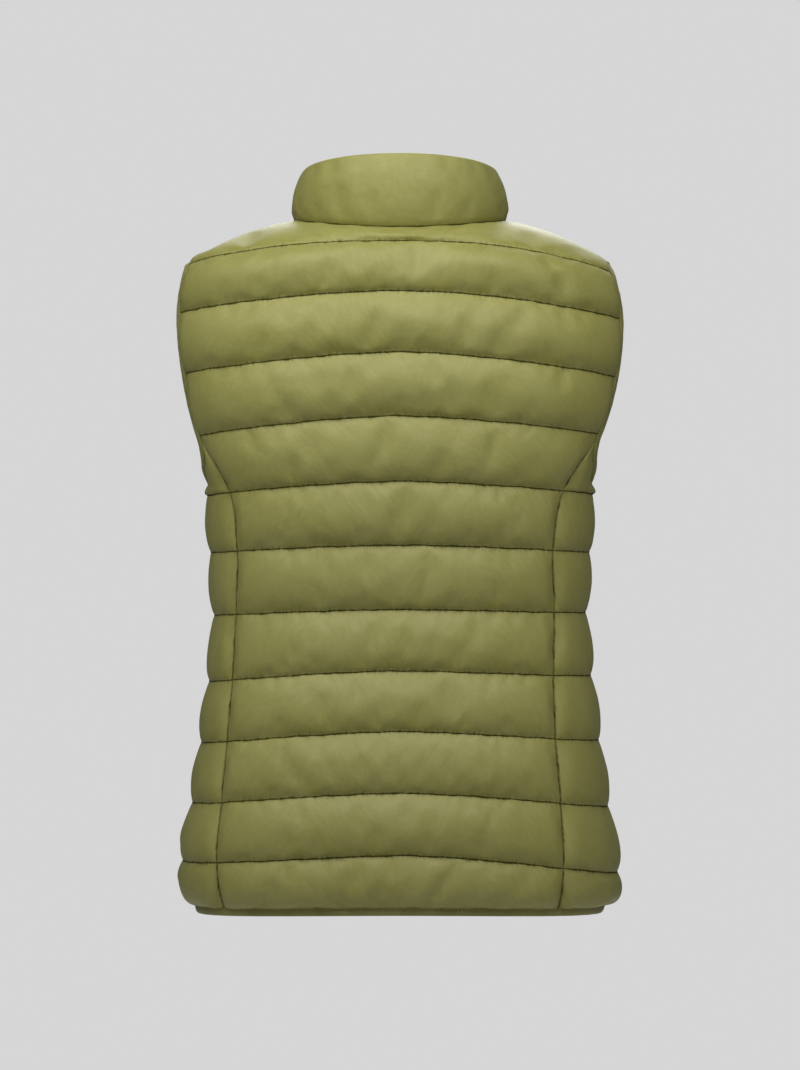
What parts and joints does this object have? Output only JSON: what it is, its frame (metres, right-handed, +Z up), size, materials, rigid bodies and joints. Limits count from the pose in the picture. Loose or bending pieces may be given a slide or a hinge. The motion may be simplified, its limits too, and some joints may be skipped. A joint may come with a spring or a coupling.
{
  "type": "sleeveless puffer jacket in the hollow form it has when worn",
  "caption": "Sleeveless quilted puffer jacket, zipped up, with stand collar, side panels, bound armholes and hem, in hollow worn form.",
  "frame": {"origin": "the middle of the neck, level with the neck ends of the shoulder seams, where the wearer's shoulders and neck carry the garment", "axes": "+Z up, +Y towards the front of the wearer, +X towards the wearer's right side"},
  "size_m": [0.3999, 0.2548, 0.6794],
  "materials": {
    "shell_nylon": "olive green satin nylon taffeta with a soft sheen, quilted over light padding",
    "binding": "olive green elastic binding, fine rib, matt",
    "zip_tape": "olive woven polyester tape, herringbone, matt",
    "zip_teeth": "olive moulded acetal, satin",
    "zip_metal": "dark olive lacquer on die-cast zinc, slightly worn at the edges"
  },
  "bodies": {
    "garment": {"back_panel": "shell_nylon", "side_panel_right": "shell_nylon", "side_panel_left": "shell_nylon", "front_panel_right": "shell_nylon", "front_panel_left": "shell_nylon", "collar": "shell_nylon", "armhole_binding_right": "binding", "armhole_binding_left": "binding", "hem_binding": "binding", "zip_tape_right": "zip_tape", "zip_tape_left": "zip_tape", "zip_chain": "zip_teeth", "zip_bottom_box": "zip_teeth", "zip_slider": "zip_metal"},
    "pull_tab": {"zip_pull_tab": "zip_metal"}
  },
  "joints": [
    {"name": "pull_tab_hinge", "type": "hinge", "parent": "garment", "child": "pull_tab", "pos_m": [0, 0.0852, -0.0025], "axis": [1, 0, 0], "range_deg": [0, 150]}
  ]
}
